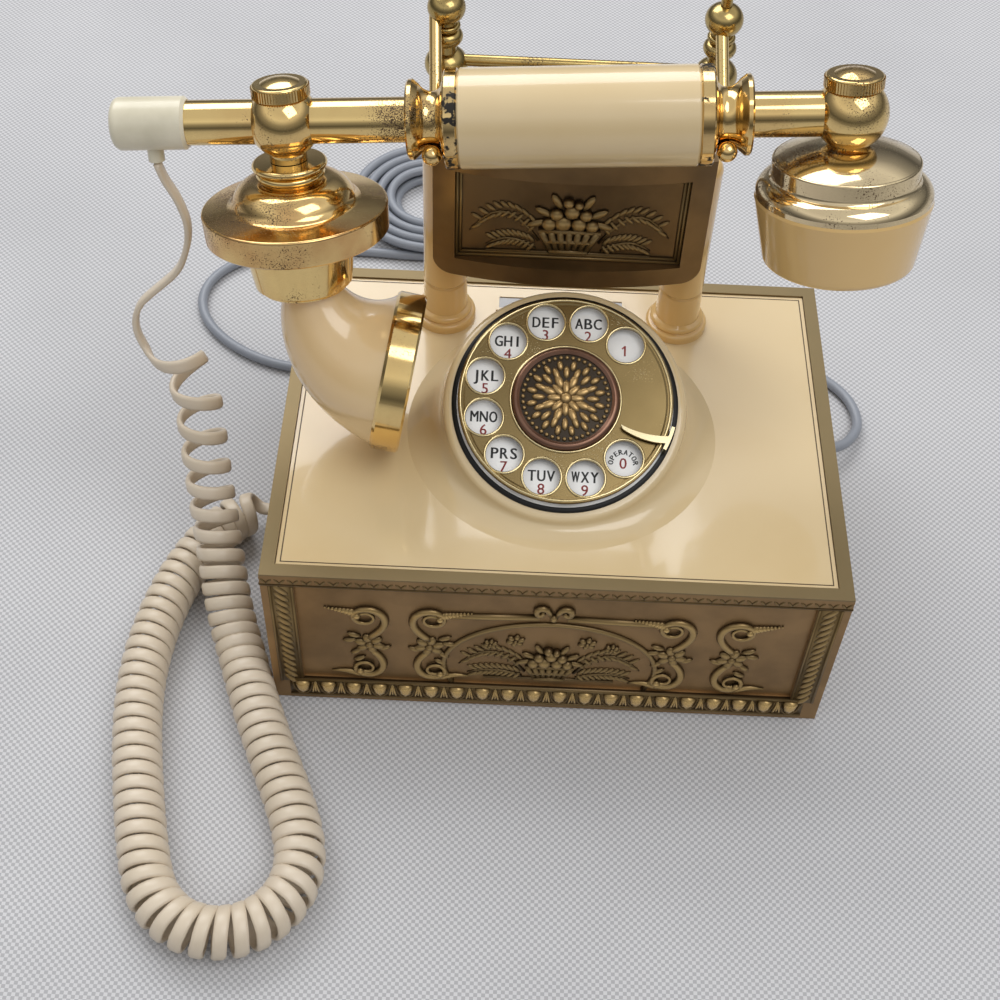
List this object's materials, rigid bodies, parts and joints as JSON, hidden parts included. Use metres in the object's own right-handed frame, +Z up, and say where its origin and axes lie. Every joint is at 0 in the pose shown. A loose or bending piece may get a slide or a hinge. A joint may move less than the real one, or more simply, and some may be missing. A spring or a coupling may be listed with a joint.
{
  "type": "rotary telephone",
  "caption": "Desk telephone in an old French style: relief metal case, ivory top with a dial boss, columns with a sprung fork, horn-mouth bar handset, curly cord and line cord.",
  "frame": {"origin": "on the desk, under the middle of the case", "axes": "+X to the right along the handset, +Y to the back, +Z up"},
  "size_m": [0.2999, 0.4305, 0.2304],
  "materials": {
    "antique_bronze": "aged relief with rubbed edges",
    "ivory_plastic": "glossy",
    "polished_gold": "polished plating, pitted and worn",
    "satin_brass": "satin",
    "copper_brown": "dark antique",
    "white_enamel": "smooth",
    "black_trim": "matt",
    "steel": "plain",
    "gear_brass": "plain",
    "copper_coil": "wound wire",
    "phenolic": "moulded",
    "foot_rubber": "matt",
    "clear_window": "clear",
    "capsule": "pressed",
    "cap_plastic": "off-white, dull",
    "curly_cord": "flat ribbon, satin",
    "line_vinyl": "satin",
    "clear_plug": "clear moulding"
  },
  "bodies": {
    "base": {"case_frame": "antique_bronze", "bottom_plate": "steel", "rubber_feet": "foot_rubber", "bottom_screws": "steel", "top_plate": "ivory_plastic", "card_frame": "ivory_plastic", "card_window": "clear_window", "number_plate": "white_enamel", "dial_gasket": "black_trim", "finger_stop": "polished_gold", "dial_frame": "steel", "return_spring": "steel", "pulse_contacts": "gear_brass", "ringer_frame": "steel", "gongs": "gear_brass", "ringer_coils": "copper_coil", "network_block": "phenolic", "column_left": "ivory_plastic", "column_right": "ivory_plastic", "cradle_panel": "antique_bronze", "switch_frame": "steel", "switch_contacts": "gear_brass", "handset_cord": "curly_cord", "line_cord": "line_vinyl", "line_coil": "line_vinyl", "line_plug": "clear_plug", "cord_glands": "line_vinyl"},
    "dial_rotor": {"finger_wheel": "satin_brass", "hub_ring": "copper_brown", "dial_medallion": "copper_brown", "dial_shaft": "steel", "main_gear": "gear_brass"},
    "pulse_train": {"pulse_arbor": "gear_brass"},
    "governor_train": {"governor": "gear_brass"},
    "ringer_clapper": {"clapper": "steel"},
    "fork": {"fork_post_left": "polished_gold", "fork_post_right": "polished_gold", "hook_left": "polished_gold", "hook_right": "polished_gold", "crossbar": "polished_gold", "plunger_yoke": "steel"},
    "lever": {"switch_lever": "steel"},
    "handset": {"handset_tube": "polished_gold", "grip": "ivory_plastic", "grip_collars": "polished_gold", "spools": "polished_gold", "ball_left": "polished_gold", "ball_right": "polished_gold", "knurled_nuts": "polished_gold", "mouth_collar": "polished_gold", "mouth_disc": "polished_gold", "mouth_cup": "polished_gold", "mouth_horn": "ivory_plastic", "horn_ring": "polished_gold", "mouth_grille": "ivory_plastic", "transmitter": "capsule", "ear_shell": "polished_gold", "ear_cap": "ivory_plastic", "receiver": "capsule", "end_cap": "cap_plastic"}
  },
  "joints": [
    {"name": "dial_turn", "type": "hinge", "parent": "base", "child": "dial_rotor", "pos_m": [0.0009, -0.0136, 0.1028], "axis": [0, -0.4115, 0.9114], "range_deg": [-337, 0], "stiffness_Nm_per_rad": 0.006, "springref_deg": 22.92},
    {"name": "pulse_turn", "type": "hinge", "parent": "base", "child": "pulse_train", "pos_m": [-0.02325, -0.01544, 0.08551], "axis": [0, -0.4115, 0.9114], "range_deg": [0, 1690]},
    {"name": "governor_turn", "type": "hinge", "parent": "base", "child": "governor_train", "pos_m": [-0.01924, -0.02908, 0.07935], "axis": [0, -0.4115, 0.9114], "range_deg": [-6745, 0]},
    {"name": "clapper_swing", "type": "hinge", "parent": "base", "child": "ringer_clapper", "pos_m": [0, -0.01, 0.024], "axis": [0, 0, 1], "range_deg": [-4.5, 4.5], "stiffness_Nm_per_rad": 0.004},
    {"name": "handset_lift", "type": "slide", "parent": "base", "child": "handset", "axis": [0, -0.2588, 0.9659], "range_m": [0, 0.14]},
    {"name": "fork_rise", "type": "slide", "parent": "base", "child": "fork", "axis": [0, 0, 1], "range_m": [0, 0.006]},
    {"name": "lever_tip", "type": "hinge", "parent": "base", "child": "lever", "pos_m": [0, 0.0365, 0.0496], "axis": [1, 0, 0], "range_deg": [0, 18]}
  ],
  "couplings": [
    {"joint": "pulse_turn", "follows": "dial_turn", "ratio": -5},
    {"joint": "governor_turn", "follows": "dial_turn", "ratio": 20},
    {"joint": "fork_rise", "follows": "handset_lift", "ratio": 0.042857},
    {"joint": "lever_tip", "follows": "handset_lift", "rad_per_m": 2.1}
  ]
}
